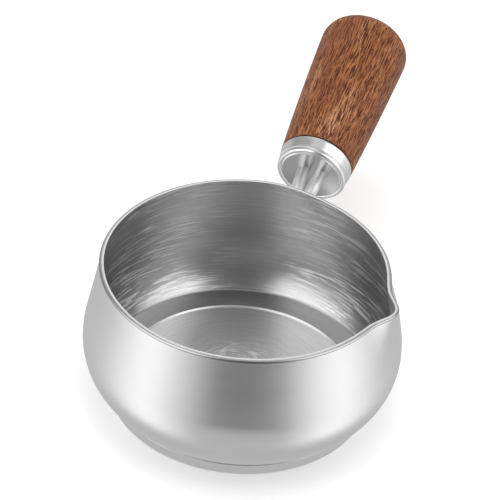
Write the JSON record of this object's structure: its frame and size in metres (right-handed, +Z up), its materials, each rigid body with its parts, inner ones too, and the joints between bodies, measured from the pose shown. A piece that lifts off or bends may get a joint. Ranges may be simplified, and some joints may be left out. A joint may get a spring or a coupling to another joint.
{
  "type": "milk pan",
  "caption": "Small round-bellied steel milk pan with a drawn-in mouth, a pouring beak at its side and a round wooden handle on a slim two-rod neck",
  "frame": {"origin": "centre of the flat underside, on the surface the pan stands on", "axes": "+Z up, +X out along the handle in plan, -Y on the side of the pouring beak, which points 4 degrees past -Y, away from the handle"},
  "size_m": [0.2046, 0.112, 0.0753],
  "materials": {
    "pan_body": "satin, brushed round the pan",
    "base_core": "plain",
    "base_cap": "satin",
    "neck_rod_left": "polished stainless steel",
    "neck_rod_right": "polished stainless steel",
    "ferrule": "polished stainless steel",
    "heat_washer": "matt black",
    "handle_grip": "oiled reddish-brown wood with short dark pores along the grip",
    "grip_stud": "plain, threaded",
    "threaded_insert": "plain, threaded inside"
  },
  "bodies": {
    "root": {"pan_body": "pan_body", "base_core": "base_core", "base_cap": "base_cap", "neck_rod_left": "neck_rod_left", "neck_rod_right": "neck_rod_right", "ferrule": "ferrule", "heat_washer": "heat_washer", "handle_grip": "handle_grip", "grip_stud": "grip_stud", "threaded_insert": "threaded_insert"}
  },
  "joints": []
}
